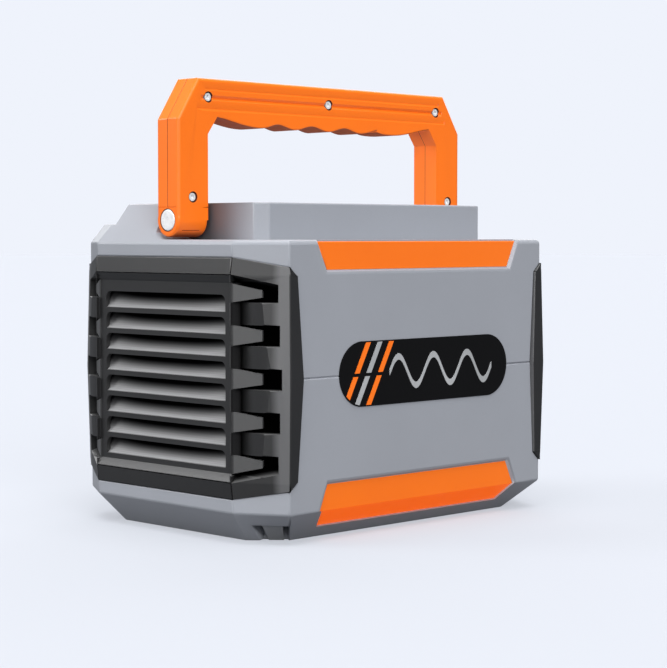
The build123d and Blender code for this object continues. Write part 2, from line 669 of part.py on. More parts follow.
def tongue(side):
    """Part of a shell that laps down over the knuckle, left leg."""
    y = (-HANDLE_T / 2 - 1, -TONGUE_BACK) if side < 0 else (TONGUE_BACK, HANDLE_T / 2 + 1)
    return box(TONGUE_X, y, (TONGUE_LOW, KNUCKLE_TOP))


def handle():
    body = handle_solid()
    for cut in groove_cuts() + handle_cavities():
        body -= cut
    radius, depth = HANDLE_SCREW_WELL
    for x, z in HANDLE_SCREWS:
        body -= rod(radius, (x, -HANDLE_T / 2 - 1, z), depth + 1, "Y")
        body -= rod(SCREW_SHANK_R + 0.1, (x, -HANDLE_T / 2, z), 14.5, "Y")
    foot = box((-130, 130), (-20, 20), (140, KNUCKLE_TOP))
    for end in both_ends(rod(PIN_R + PIN_CLEARANCE, (-HANDLE_HALF - 1, 0, PIVOT_Z), 24, "X")):
        body -= end
    for end in both_ends(rod(PIN_HEAD_R + 0.2, (-HANDLE_HALF - 1, 0, PIVOT_Z), 2.6, "X")):
        body -= end
    shells = body - foot
    knuckles = body & foot
    for side, name in ((-1, "front"), (1, "rear")):
        half = box((-130, 130), (-20, 0) if side < 0 else (0, 20), (150, 250))
        shell = shells & half
        for lap in both_ends(tongue(side)):
            shell += body & lap
            knuckles -= lap
        keep(f"handle_{name}_shell", shell)
    left, right = sorted(knuckles.solids(), key=lambda s: s.center().X)
    keep("left_handle_knuckle", left)
    keep("right_handle_knuckle", right)


def handle_screws():
    screws = []
    y = -HANDLE_T / 2 + HANDLE_HEAD_SINK
    head = HANDLE_SCREW_WELL[1] - HANDLE_HEAD_SINK
    for x, z in HANDLE_SCREWS:
        screw = rod(HANDLE_HEAD_R, (x, y, z), head, "Y") + rod(SCREW_SHANK_R, (x, y + 1, z), 12, "Y")
        recess = Plane.XZ.offset(-y) * Pos(x, z) * RegularPolygon(1.2, 6)
        screws.append(screw - extrude(recess, amount=1.0, both=True))
    keep("handle_screws", Compound(children=screws))


def pivot_pins():
    pin = rod(PIN_R, (-HANDLE_HALF, 0, PIVOT_Z), HANDLE_HALF - BLOCK_HALF + 9, "X")
    head = rod(PIN_HEAD_R, (-HANDLE_HALF - 0.2, 0, PIVOT_Z), 1.5, "X")
    head = fillet(head.edges().sort_by(Axis.X)[:1], 0.7)
    left, right = both_ends(pin + head)
    keep("left_pivot_pin", left)
    keep("right_pivot_pin", right)


# ---------------------------------------------------------------- front panel
def front_panel():
    centre_z = sum(FRONT_Z) / 2
    height = FRONT_Z[1] - FRONT_Z[0]
    inner_y = HALF_WIDTH - WALL
    body = rounded_plate(2 * FRONT_HALF, height, 0.1, FRONT_FACE - inner_y, (0, centre_z), inner_y)
    body += rounded_plate(2 * FRONT_HALF + 4, height + 4, 1, inner_y - FRONT_BACK, (0, centre_z), FRONT_BACK)
    for x, z in BUTTONS.values():
        body -= rod(BUTTON_R + 0.3, (x, FRONT_BACK - 1, z), 9, "Y")
    for width, height, radius, x, z in PANEL_CUTS:
        body -= rounded_plate(width, height, radius, 9, (x, z), FRONT_BACK - 1)
    for x, z in [CAR_SOCKET, CHARGE_JACK] + DC_JACKS:
        radius = 12.5 if (x, z) == CAR_SOCKET else 5.5
        body -= rod(radius, (x, FRONT_BACK - 1, z), 9, "Y")
    for x, z in panel_screw_places():
        body -= rod(1.6, (x, FRONT_BACK - 1, z), 9, "Y")
        body -= rod(2.9, (x, FRONT_FACE - 1.4, z), 3, "Y")
    return body


def panel_screw_places():
    heights = (FRONT_Z[0] + PANEL_SCREW_INSET, FRONT_Z[1] - PANEL_SCREW_INSET)
    return [(side * PANEL_SCREW_X, z) for side in (-1, 1) for z in heights]


def panel_screws():
    screws = []
    for x, z in panel_screw_places():
        screw = rod(2.8, (x, FRONT_FACE - 1.4, z), 1.6, "Y") + rod(1.5, (x, FRONT_BACK - 3, z), 6, "Y")
        screws.append(screw - rounded_plate(3.2, 0.8, 0.3, 2, (x, z), FRONT_FACE - 0.6))
    keep("panel_screws", Compound(children=screws))


def buttons():
    for name, (x, z) in BUTTONS.items():
        cap = rod(BUTTON_R, (x, FRONT_BACK - 1.2, z), FRONT_FACE - FRONT_BACK + 2.4, "Y")
        cap = fillet(cap.edges().sort_by(Axis.Y)[-1:], 0.8)
        cap += rod(BUTTON_R + 1.2, (x, FRONT_BACK - 1.4, z), 1.1, "Y")
        keep(name, cap)


def button_board():
    """Board behind the display and the buttons, with a switch under each button."""
    front = DISPLAY_BOARD_Y
    back = front - PCB_T
    board = box((-46, 79), (back, front), (104, 139)) + box((-46, 32), (back, front), (84, 104))
    keep("display_board", board)
    switches = []
    for x, z in BUTTONS.values():
        switch = box((x - 3, x + 3), (front, SWITCH_Y), (z - 3, z + 3))
        switches.append(switch + rod(1.6, (x, SWITCH_Y, z), 0.3, "Y"))
    keep("button_switches", Compound(children=switches))


def display():
    x, z = DISPLAY
    keep("display_lens", rounded_plate(62, 34, 3, 1.2, (x, z), FRONT_FACE - 0.9))
    keep("display_module", rounded_plate(58, 30, 0.5, 11.1, (x, z), DISPLAY_BOARD_Y))


def lamp():
    x, z = LAMP
    lens = rounded_plate(38, 20, 4, 3.0, (x, z), FRONT_FACE - 1.6)
    keep("lamp_lens", lens)
    board = rounded_plate(34, 16, 1, PCB_T, (x, z), 74)
    for i in range(4):
        board += rounded_plate(5, 5, 0.5, 1.2, (x - 12 + 8 * i, z), 74 + PCB_T)
    keep("lamp_board", board)


def ac_outlet(x, z):
    """Two flat slots and a round earth hole in a framed insert."""
    body = rounded_plate(34, 38, 4, 2.4, (x, z), FRONT_FACE - 1.2)
    body += rounded_plate(30, 34, 3, 26, (x, z), FRONT_FACE - 27)
    for dx in (-AC_SLOT_SPREAD, AC_SLOT_SPREAD):
        body -= rounded_plate(2.2, 8.2, 0.4, 18, (x + dx, z + 3), FRONT_FACE - 16)
    return body - rod(2.0, (x, FRONT_FACE - 16, z - 9), 20, "Y")


def usb_socket(width, height, x, z):
    radius = height / 2 - 0.05 if height < 4 else 0.6
    shell = rounded_plate(width + 1.4, height + 1.4, radius + 0.4, 14.6, (x, z), IO_BOARD_Y)
    shell -= rounded_plate(width, height, radius, 12, (x, z), IO_BOARD_Y + 2.6 + 0.1)
    tongue_h = height * 0.34
    tongue_z = z + (height * 0.18 if height > 4 else 0)
    return shell + rounded_plate(width * 0.8, tongue_h, 0.2, 9.5, (x, tongue_z), IO_BOARD_Y + 2)


def round_jack(x, z, outer, inner, pin):
    body = rod(outer, (x, IO_BOARD_Y, z), FRONT_FACE - IO_BOARD_Y + 0.4, "Y")
    body -= rod(inner, (x, IO_BOARD_Y + 4, z), 30, "Y")
    return body + rod(pin, (x, IO_BOARD_Y + 3, z), 9, "Y")


def car_socket():
    x, z = CAR_SOCKET
    body = rod(12.5, (x, 44, z), FRONT_FACE - 44, "Y") + rod(14.5, (x, FRONT_FACE, z), 1.2, "Y")
    body -= rod(10.55, (x, 46, z), 60, "Y")
    body += rod(2.6, (x, 45, z), 4, "Y")
    for side in (-1, 1):
        ear = box(sorted((x + side * 4.3, x + side * 6.5)), (FRONT_FACE, 83.2), (z + 13.5, z + 18.6))
        body += ear
    return body - rod(CAP_PIN_R, (x - 10, CAP_HINGE_Y, z + CAP_HINGE_RISE), 20, "X")


def car_socket_cap():
    x, z = CAR_SOCKET
    hinge = (x - 4, CAP_HINGE_Y, z + CAP_HINGE_RISE)
    cap = rod(13.6, (x, 82.15, z), 1.2, "Y")
    cap += rod(10.0, (x, 79.2, z), 3, "Y")
    cap += box((x - 4, x + 4), (82.15, 83.35), (z + 10, z + CAP_HINGE_RISE))
    cap += rod(1.35, hinge, 8, "X")
    cap += box((x - 5, x + 5), (82.15, 83.5), (z - 15.4, z - 12.5))
    return cap - rod(CAP_PIN_R + PIN_CLEARANCE, (x - 10, CAP_HINGE_Y, z + CAP_HINGE_RISE), 20, "X")


def sockets():
    for i, (x, z) in enumerate(AC_OUTLETS):
        keep(f"ac_outlet_{i + 1}", ac_outlet(x, z))
    keep("usb_a_sockets", Compound(children=[usb_socket(12.6, 5.2, x, z) for x, z in USB_A]))
    keep("usb_c_sockets", Compound(children=[usb_socket(9.0, 3.2, x, z) for x, z in USB_C]))
    keep("dc_output_jacks", Compound(children=[round_jack(x, z, 5.5, 2.9, 1.1) for x, z in DC_JACKS]))
    keep("charge_input_jack", round_jack(*CHARGE_JACK, 5.5, 4.0, 0.6))
    keep("car_socket", car_socket())
    keep("car_socket_cap", car_socket_cap())
    x, z = CAR_SOCKET
    keep("car_cap_hinge_pin", rod(CAP_PIN_R, (x - 6.5, CAP_HINGE_Y, z + CAP_HINGE_RISE), 13, "X"))
    keep("output_board", box((40, 80), (IO_BOARD_Y - PCB_T, IO_BOARD_Y), (29, 101)))


# ---------------------------------------------------------------- inside
def cell_places():
    x, y = CELL_FIRST
    columns, rows = CELL_ROWS
    return [(x + CELL_PITCH * i, y + CELL_PITCH * j) for i in range(columns) for j in range(rows)]


def battery():
    cells = [rod(CELL_R, (x, y, CELL_Z), CELL_H) for x, y in cell_places()]
    keep("battery_cells", Compound(children=cells))
    for name, z in (("lower_cell_holder", CELL_Z - 2), ("upper_cell_holder", CELL_Z + CELL_H - 4)):
        plate = box((-BATTERY_X, BATTERY_X), BATTERY_Y, (z, z + HOLDER_T))
        for x, y in cell_places():
            plate -= rod(CELL_R, (x, y, CELL_Z), CELL_H)
            plate -= rod(CELL_R - 3, (x, y, z - 1), HOLDER_T + 2)
        keep(name, plate)
    low = CELL_Z + CELL_H + 2
    board = box((-40, 40), (-50, 18), (low, low + PCB_T))
    for x in (-30, -10, 10, 30):
        board += box((x - 4, x + 4), (-20, -8), (low + PCB_T, low + PCB_T + 1.4))
    keep("battery_management_board", board)
    outer = box((-BATTERY_X - 2, BATTERY_X + 2), BATTERY_Y, (WALL, 84))
    keep("battery_bracket", outer - box((-BATTERY_X - 0.5, BATTERY_X + 0.5), (-70, 40), (0, 82.5)))


def inverter():
    keep("inverter_board", box((-66, 66), (-66, 36), (SINK_Z - PCB_T, SINK_Z)))
    spots = [(x, y) for x in (-60, 0, 60) for y in (-54, 22)]
    keep("board_standoffs", Compound(children=[rod(3, (x, y, 84), 6) for x, y in spots]))
    for name, y in (("rear_heat_sink", -52), ("front_heat_sink", 24)):
        sink = box((-50, 50), (y - 8, y + 8), (SINK_Z, 95))
        for i in range(SINK_FINS):
            x = -50 + 10 * i - 1
            sink += box((max(x, -50), min(x + 2, 50)), (y - 8, y + 8), (95, 124))
        keep(name, sink)
    core = box((-24, 24), (-34, 6), (SINK_Z, SINK_Z + 40))
    core -= box((-15, -8), (-40, 10), (99, 124)) + box((8, 15), (-40, 10), (99, 124))
    keep("transformer_core", core)
    coil = box((-14.8, 14.8), (-37, 9), (99.2, 123.8)) - box((-8, 8), (-34, 6), (99, 124.5))
    keep("transformer_winding", coil)
    caps = [rod(9, (x, y, SINK_Z), 35) for x in (-46, 46) for y in (-26, -4)]
    keep("capacitors", Compound(children=caps))


def main():
    housings()
    housing_screws()
    feet()
    trims()
    badge()
    grilles()
    fans()
    handle()
    handle_screws()
    pivot_pins()
    keep("front_panel", front_panel())
    panel_screws()
    buttons()
    button_board()
    display()
    lamp()
    sockets()
    battery()
    inverter()


main()
os.makedirs("parts", exist_ok=True)
for name, shape in parts.items():
    export_step(shape, f"parts/{name}.step")
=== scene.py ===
import json
import math

import bmesh
import bpy
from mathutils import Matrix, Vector

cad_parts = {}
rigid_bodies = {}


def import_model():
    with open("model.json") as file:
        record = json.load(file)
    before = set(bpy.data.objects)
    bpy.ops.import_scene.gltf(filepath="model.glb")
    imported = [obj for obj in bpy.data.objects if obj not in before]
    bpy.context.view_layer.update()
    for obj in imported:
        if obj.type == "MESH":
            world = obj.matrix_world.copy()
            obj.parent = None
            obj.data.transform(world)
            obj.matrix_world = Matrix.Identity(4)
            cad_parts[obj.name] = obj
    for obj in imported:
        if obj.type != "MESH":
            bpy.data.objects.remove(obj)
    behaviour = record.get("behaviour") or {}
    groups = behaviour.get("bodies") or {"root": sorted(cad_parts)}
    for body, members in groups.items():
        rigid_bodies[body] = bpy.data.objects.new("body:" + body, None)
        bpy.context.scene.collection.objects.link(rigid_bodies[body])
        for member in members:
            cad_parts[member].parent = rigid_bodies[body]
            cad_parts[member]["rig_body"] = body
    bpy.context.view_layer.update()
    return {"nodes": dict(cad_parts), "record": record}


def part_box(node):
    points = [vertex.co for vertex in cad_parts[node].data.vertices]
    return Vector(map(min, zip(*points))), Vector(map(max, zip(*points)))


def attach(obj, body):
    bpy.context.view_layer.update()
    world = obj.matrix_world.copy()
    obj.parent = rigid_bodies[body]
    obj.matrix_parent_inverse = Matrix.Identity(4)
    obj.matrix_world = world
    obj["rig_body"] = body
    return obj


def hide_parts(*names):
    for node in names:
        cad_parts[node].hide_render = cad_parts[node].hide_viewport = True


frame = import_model()
nodes = frame["nodes"]

MM = 0.001


# ---------------------------------------------------------------- camera, light, floor
CAMERA_PLACE = (-0.7434, -0.7594, 0.1576)
CAMERA_YAW = 45.13           # degrees from +X towards +Y
CAMERA_PITCH = -3.026
CAMERA_LENS = 100.44
PALE = (0.863, 0.896, 0.973)
FLOOR_SEEN = 0.272           # floor reflectance for the camera
FLOOR_GLOW = 0.5             # light that comes through the floor sheet
FLOOR_BOUNCE = 0.16          # reflectance for light that it throws back on the object
FLOOR_HALF = 12.0
WORLD_LIGHT = 0.24           # strength of the world's light on the object


def make_camera():
    data = bpy.data.cameras.new("camera")
    data.lens = CAMERA_LENS
    data.sensor_fit = "HORIZONTAL"
    data.sensor_width = 36.0
    data.clip_start, data.clip_end = 0.05, 40.0
    camera = bpy.data.objects.new("camera", data)
    bpy.context.scene.collection.objects.link(camera)
    yaw, pitch = math.radians(CAMERA_YAW), math.radians(CAMERA_PITCH)
    ahead = Vector((math.cos(pitch) * math.cos(yaw), math.cos(pitch) * math.sin(yaw), math.sin(pitch)))
    camera.location = CAMERA_PLACE
    camera.rotation_mode = "QUATERNION"
    camera.rotation_quaternion = ahead.to_track_quat("-Z", "Y")
    bpy.context.scene.camera = camera


def sun(name, azimuth, elevation, strength, width):
    """Soft directional light, angles in degrees. Azimuth is its side, from -X towards -Y."""
    data = bpy.data.lights.new(name, "SUN")
    data.energy = strength
    data.angle = math.radians(width)
    light = bpy.data.objects.new(name, data)
    a, e = math.radians(azimuth), math.radians(elevation)
    source = Vector((-math.cos(a) * math.cos(e), -math.sin(a) * math.cos(e), math.sin(e)))
    light.rotation_mode = "QUATERNION"
    light.rotation_quaternion = (-source).to_track_quat("-Z", "Y")
    bpy.context.scene.collection.objects.link(light)


def make_light():
    sun("side_key", 62, 27, 2.0, 35)
    sun("corner_strip", 16, 4, 0.62, 24)
    sun("end_key", -44, 26, 1.25, 30)
    sun("top", 60, 80, 2.75, 50)
    sun("back_fill", 225, 32, 1.7, 60)
    world = bpy.data.worlds.new("studio")
    bpy.context.scene.world = world
    world.use_nodes = True
    tree = world.node_tree
    tree.nodes.clear()
    out = tree.nodes.new("ShaderNodeOutputWorld")
    seen = tree.nodes.new("ShaderNodeBackground")
    seen.inputs["Color"].default_value = (*PALE, 1)
    dim = tree.nodes.new("ShaderNodeBackground")
    dim.inputs["Color"].default_value = (*PALE, 1)
    dim.inputs["Strength"].default_value = WORLD_LIGHT
    path = tree.nodes.new("ShaderNodeLightPath")
    mix = tree.nodes.new("ShaderNodeMixShader")
    tree.links.new(path.outputs["Is Camera Ray"], mix.inputs["Fac"])
    tree.links.new(dim.outputs[0], mix.inputs[1])
    tree.links.new(seen.outputs[0], mix.inputs[2])
    tree.links.new(mix.outputs[0], out.inputs["Surface"])
    view = bpy.context.scene.view_settings
    view.view_transform = "Standard"
    view.look = "None"


def make_floor():
    half = FLOOR_HALF
    corners = [(-half, -half, 0), (half, -half, 0), (half, half, 0), (-half, half, 0)]
    mesh = bpy.data.meshes.new("floor")
    mesh.from_pydata(corners, [], [(0, 1, 2, 3)])
    floor = bpy.data.objects.new("floor", mesh)
    bpy.context.scene.collection.objects.link(floor)
    mat = bpy.data.materials.new("floor_paper")
    mat.use_nodes = True
    tree = mat.node_tree
    tree.nodes.clear()
    lit = tree.nodes.new("ShaderNodeBsdfDiffuse")
    lit.inputs["Color"].default_value = (*scaled(PALE, FLOOR_SEEN), 1)
    glow = tree.nodes.new("ShaderNodeEmission")
    glow.inputs["Color"].default_value = (*PALE, 1)
    glow.inputs["Strength"].default_value = FLOOR_GLOW
    seen = tree.nodes.new("ShaderNodeAddShader")
    tree.links.new(lit.outputs[0], seen.inputs[0])
    tree.links.new(glow.outputs[0], seen.inputs[1])
    dim = tree.nodes.new("ShaderNodeBsdfDiffuse")
    dim.inputs["Color"].default_value = (*scaled(PALE, FLOOR_BOUNCE), 1)
    path = tree.nodes.new("ShaderNodeLightPath")
    mix = tree.nodes.new("ShaderNodeMixShader")
    out = tree.nodes.new("ShaderNodeOutputMaterial")
    tree.links.new(path.outputs["Is Camera Ray"], mix.inputs["Fac"])
    tree.links.new(dim.outputs[0], mix.inputs[1])
    tree.links.new(seen.outputs[0], mix.inputs[2])
    tree.links.new(mix.outputs[0], out.inputs["Surface"])
    mesh.materials.append(mat)


# ---------------------------------------------------------------- materials
# Places on the object where a material changes, in metres from its middle.
END_X = 0.115                # the housing's end plane
END_Y = 0.05525              # where its corner facets start
SIDE_STEP = 0.0261           # from there out to the side plane
CORNER_X, CORNER_Y = 0.86, 0.51      # normal of a corner facet
BLADE_REACH = 0.049          # half length of a louvre blade
BLADE_BOW = 0.0012           # the shadow behind the bars is this much shallower at its ends
FINGER_START = 0.0058        # from a blade's end to the fingers
RIM_START, RIM_END = 0.0742, 0.0780  # painted highlight on the rim of a grille frame's corner, across its facet
SCREW_PLACES = ((0.0, 0.2311), (0.090, 0.2311), (0.101, 0.178))     # x and z of the handle's screws
SCREW_WELL = 0.0028
PIVOT_Z, PIVOT_HEAD = 0.1658, 0.0057
SEAM_HALF = 0.0003           # half width of the painted shade line between the handle's shells
BLOCK_END = 0.0885           # end walls of the raised block, behind the handle's legs
BLOCK_LOW = 0.153
SHADE_NEAR, SHADE_FAR = 0.008, 0.043 # where the shade behind a leg is full and where it ends

GRAIN_DEPTH = 0.00002        # depth of the plastic's texture

# Colours used by more than one material.
BLACK = (0.016, 0.016, 0.0165)
ORANGE = (1.0, 0.19, 0.006)
# Colour of the painted glow on the orange plastics.
ORANGE_GLOW = (1.0, 0.10, 0.0)


class Mat:
    """Small helper that builds one node material."""

    def __init__(self, name, roughness=0.5, metallic=0.0, specular=0.5):
        self.mat = bpy.data.materials.new(name)
        self.mat.use_nodes = True
        self.tree = self.mat.node_tree
        self.shader = self.tree.nodes["Principled BSDF"]
        self.shader.inputs["Roughness"].default_value = roughness
        self.shader.inputs["Metallic"].default_value = metallic
        self.shader.inputs["Specular IOR Level"].default_value = specular
        coords = self.tree.nodes.new("ShaderNodeTexCoord")
        self.place = coords.outputs["Object"]
        self.bumps = None

    def node(self, kind, **values):
        made = self.tree.nodes.new(kind)
        for key, value in values.items():
            made.inputs[key.replace("_", " ")].default_value = value
        return made

    def link(self, out, into):
        self.tree.links.new(out, into)

    def noise(self, size, detail=3.0, roughness=0.55, distortion=0.0):
        """Noise whose features are about size metres across."""
        made = self.node("ShaderNodeTexNoise", Scale=1.0 / size, Detail=detail, Roughness=roughness,
                         Distortion=distortion)
        self.link(self.place, made.inputs["Vector"])
        return made.outputs["Fac"]

    def ramp(self, fac, low, high, start=0.0, end=1.0):
        """Blend between two colours (or greys) as fac goes from start to end."""
        made = self.tree.nodes.new("ShaderNodeValToRGB")
        stops = made.color_ramp.elements
        stops[0].position, stops[1].position = start, end
        stops[0].color = (*low, 1) if isinstance(low, tuple) else (low, low, low, 1)
        stops[1].color = (*high, 1) if isinstance(high, tuple) else (high, high, high, 1)
        self.link(fac, made.inputs["Fac"])
        return made.outputs["Color"]

    def mix(self, fac, first, second):
        made = self.tree.nodes.new("ShaderNodeMix")
        made.data_type = "RGBA"
        self.link(fac, made.inputs[0])
        self.link(first, made.inputs[6])
        if isinstance(second, tuple):
            made.inputs[7].default_value = (*second, 1)
        else:
            self.link(second, made.inputs[7])
        return made.outputs[2]

    def math(self, kind, first, second=0.0):
        made = self.tree.nodes.new("ShaderNodeMath")
        made.operation = kind
        for value, into in ((first, made.inputs[0]), (second, made.inputs[1])):
            if isinstance(value, float):
                into.default_value = value
            else:
                self.link(value, into)
        return made.outputs[0]

    def across(self, value, start, end, most=1.0, least=0.0):
        """From least to most as value goes from start to end."""
        made = self.tree.nodes.new("ShaderNodeMapRange")
        made.inputs["From Min"].default_value = start
        made.inputs["From Max"].default_value = end
        made.inputs["To Min"].default_value = least
        made.inputs["To Max"].default_value = most
        self.link(value, made.inputs["Value"])
        return made.outputs["Result"]

    def part(self, vector, name):
        """One of the X, Y, Z parts of a vector."""
        split = self.tree.nodes.new("ShaderNodeSeparateXYZ")
        self.link(vector, split.inputs["Vector"])
        return split.outputs[name]

    def normal(self, name):
        """One part of the surface's normal."""
        geometry = self.tree.nodes.new("ShaderNodeNewGeometry")
        return self.part(geometry.outputs["Normal"], name)

    def facing_up(self, start, end, most=1.0, least=0.0):
        """From least to most as the z of the normal goes from start to end."""
        return self.across(self.normal("Z"), start, end, most, least)

    def turned(self, name, start, end):
        """0 to 1 as the normal's part along one axis, either way, goes from start to end."""
        return self.across(self.math("ABSOLUTE", self.normal(name)), start, end)

    def axis(self, name):
        """Distance from the object's middle along one axis."""
        return self.math("ABSOLUTE", self.part(self.place, name))

    def depth_behind_end(self, front, back):
        """0 at the front of a louvre panel and 1 behind it; the limit bows towards the middle."""
        aside = self.math("MULTIPLY", self.axis("Y"), 1 / BLADE_REACH)
        bow = self.math("MULTIPLY", self.math("POWER", aside, 3.0), BLADE_BOW)
        deep = self.across(self.math("ADD", self.axis("X"), bow), front, back)
        return self.math("MULTIPLY", deep, self.beside_blades(1.0, 0.0))

    def beside_blades(self, between, beside):
        """One value along the blades and another on the fingers beyond their ends."""
        start = BLADE_REACH + FINGER_START
        return self.across(self.axis("Y"), start, start + 0.0004, beside, between)

    def near(self, point, plane, start, end):
        """1 within start of a line through point, fading to 0 at end; plane masks the axes."""
        size = self.tree.nodes.new("ShaderNodeVectorMath")
        size.operation = "ABSOLUTE"
        self.link(self.place, size.inputs[0])
        flat = self.tree.nodes.new("ShaderNodeVectorMath")
        flat.operation = "MULTIPLY"
        flat.inputs[1].default_value = plane
        self.link(size.outputs["Vector"], flat.inputs[0])
        away = self.tree.nodes.new("ShaderNodeVectorMath")
        away.operation = "DISTANCE"
        away.inputs[1].default_value = point
        self.link(flat.outputs["Vector"], away.inputs[0])
        return self.across(away.outputs["Value"], end, start)

    def depth_inside_plan(self, start, end):
        """0 to 1 as a point lies start to end metres inside the housing's octagonal plan."""
        out_x = self.math("SUBTRACT", self.axis("X"), END_X)
        out_y = self.math("SUBTRACT", self.axis("Y"), END_Y)
        corner = self.math("MULTIPLY", out_x, CORNER_X)
        corner = self.math("ADD", corner, self.math("MULTIPLY", out_y, CORNER_Y))
        outside = self.math("MAXIMUM", corner, out_x)
        outside = self.math("MAXIMUM", outside, self.math("SUBTRACT", out_y, SIDE_STEP))
        return self.across(outside, -start, -end)

    def color(self, out):
        self.link(out, self.shader.inputs["Base Color"])

    def roughness(self, out):
        self.link(out, self.shader.inputs["Roughness"])

    def bump(self, height, depth, strength=1.0):
        made = self.node("ShaderNodeBump", Strength=strength, Distance=depth)
        self.link(height, made.inputs["Height"])
        if self.bumps:
            self.link(self.bumps, made.inputs["Normal"])
        self.bumps = made.outputs["Normal"]
        self.link(self.bumps, self.shader.inputs["Normal"])


def scaled(color, factor):
    return tuple(min(1.0, c * factor) for c in color)


def moulded_plastic(name, color, roughness=0.45, grain=0.00035, spread=0.05, specular=0.5, uneven=1.0):
    """Injection-moulded plastic: fine spark texture, faint cloudiness, roughness that varies.

    grain is the size of the texture in metres, spread how far the colour strays, and uneven how
    far the roughness does.
    """
    mat = Mat(name, roughness, specular=specular)
    cloud = mat.noise(0.05, 4.0)
    speck = mat.noise(0.0012, 2.0)
    body = mat.ramp(cloud, scaled(color, 1 - spread), scaled(color, 1 + spread), 0.3, 0.7)
    body = mat.mix(mat.ramp(speck, 0.0, 0.35, 0.55, 0.75), body, scaled(color, 1 - 2 * spread))
    mat.color(body)
    low, high = roughness - 0.06 * uneven, roughness + 0.08 * uneven
    mat.roughness(mat.ramp(mat.noise(0.012, 3.0), low, high, 0.3, 0.7))
    mat.bump(mat.noise(grain, 2.0, 0.6), GRAIN_DEPTH, 0.5)
    mat.body = body
    return mat


def grey_housing():
    """Grey shell plastic, with a soft contact shade on the block's end walls behind the legs."""
    mat = moulded_plastic("grey_housing", (0.335, 0.35, 0.385), 0.42, grain=0.0004, spread=0.025,
                          uneven=0.4)
    wall = mat.across(mat.axis("X"), BLOCK_END - 0.0004, BLOCK_END - 0.0002)
    wall = mat.math("MULTIPLY", wall, mat.across(mat.axis("X"), BLOCK_END + 0.0012, BLOCK_END + 0.0008))
    wall = mat.math("MULTIPLY", wall, mat.across(mat.axis("Z"), BLOCK_LOW, BLOCK_LOW + 0.002))
    shade = mat.math("MULTIPLY", wall, mat.across(mat.axis("Y"), SHADE_FAR, SHADE_NEAR, 0.95))
    mat.color(mat.mix(shade, mat.body, (0.05, 0.052, 0.057)))
    return mat.mat


def handle_plastic(name, seam, screws):
    """Orange grip plastic: painted shade where it faces down, in the seam and round the heads, and a faint
    painted glow where it isn't shaded.
    """
    mat = moulded_plastic(name, ORANGE, 0.36, grain=0.00035, spread=0.03)
    shade = mat.facing_up(-0.62, -0.90, 0.72)
    if seam:
        shade = mat.math("MAXIMUM", shade, mat.across(mat.axis("Y"), SEAM_HALF, SEAM_HALF / 3, 0.85))
    ring = mat.near((0, 0, PIVOT_Z), (0, 1, 1), PIVOT_HEAD + 0.0003, PIVOT_HEAD + 0.0006)
    shade = mat.math("MAXIMUM", shade, ring)
    if screws:
        for x, z in SCREW_PLACES:
            ring = mat.near((x, 0, z), (1, 0, 1), SCREW_WELL + 0.00005, SCREW_WELL + 0.0003)
            shade = mat.math("MAXIMUM", shade, ring)
    mat.color(mat.mix(shade, mat.body, (0.10, 0.012, 0.0)))
    mat.roughness(mat.ramp(shade, 0.36, 0.85))
    # Painted glow, faded out where the painted shade is.
    mat.shader.inputs["Emission Color"].default_value = (*ORANGE_GLOW, 1)
    mat.link(mat.across(shade, 1.0, 0.0, 0.07), mat.shader.inputs["Emission Strength"])
    return mat.mat


def orange_plastic(name="orange_plastic", glow=0.07, under=0.0):
    """Vivid orange with a faint painted glow of strength glow; under is how strongly the painted glow is
    where it faces down.
    """
    mat = moulded_plastic(name, ORANGE, 0.36, grain=0.00035, spread=0.03)
    mat.shader.inputs["Emission Color"].default_value = (*ORANGE_GLOW, 1)
    if under:
        mat.link(mat.facing_up(-0.1, -0.6, under, glow), mat.shader.inputs["Emission Strength"])
    else:
        mat.shader.inputs["Emission Strength"].default_value = glow
    return mat.mat


def black_plastic():
    """Black plastic with painted light from above where it faces up, a painted highlight on the rim beside
    the wings and painted shade in the recesses.
    """
    mat = moulded_plastic("black_plastic", BLACK, 0.36, grain=0.0003, spread=0.10, specular=0.6)
    # Painted light from above: lighter grey where it faces up, then a painted highlight on the corner rim.
    painted_light = mat.mix(mat.facing_up(0.2, 0.8), mat.body, (0.10, 0.10, 0.10))
    rim = mat.across(mat.axis("Y"), RIM_START, RIM_END)
    rim = mat.math("MULTIPLY", rim, mat.turned("X", 0.72, 0.80))
    rim = mat.math("MULTIPLY", rim, mat.turned("Z", 0.20, 0.12))
    painted_light = mat.mix(rim, painted_light, (0.11, 0.11, 0.113))
    # Painted shade: near black, rough and metallic deep inside the housing's plan.
    deep = mat.depth_inside_plan(0.0004, 0.006)
    mat.color(mat.mix(deep, painted_light, (0.002, 0.002, 0.002)))
    mat.roughness(mat.ramp(deep, 0.36, 0.85))
    mat.link(deep, mat.shader.inputs["Metallic"])
    return mat.mat


def louvre_plastic():
    """The same plastic, with painted light from above on the front of the blades and painted shade behind
    the bars.
    """
    mat = moulded_plastic("louvre_plastic", BLACK, 0.36, grain=0.0003, spread=0.10, specular=0.6)
    # Painted light from above on the blades' upward faces, less on the flattest faces, and a flat grey on
    # the fingers.
    painted_light = mat.mix(mat.facing_up(0.15, 0.75), mat.body, (0.34, 0.34, 0.345))
    painted_light = mat.mix(mat.facing_up(0.78, 0.92, 0.75), painted_light, (0.09, 0.09, 0.09))
    painted_light = mat.mix(mat.beside_blades(0.0, 0.62), painted_light, (0.09, 0.09, 0.09))
    # Painted shade behind the bars: near black, rough and metallic.
    deep = mat.depth_behind_end(0.1121, 0.1092)
    mat.color(mat.mix(deep, painted_light, (0.002, 0.002, 0.002)))
    mat.roughness(mat.ramp(deep, 0.36, 0.9))
    mat.link(deep, mat.shader.inputs["Metallic"])
    return mat.mat


def dark_plastic(name, color, roughness=0.5):
    return moulded_plastic(name, color, roughness, grain=0.0004, spread=0.12).mat


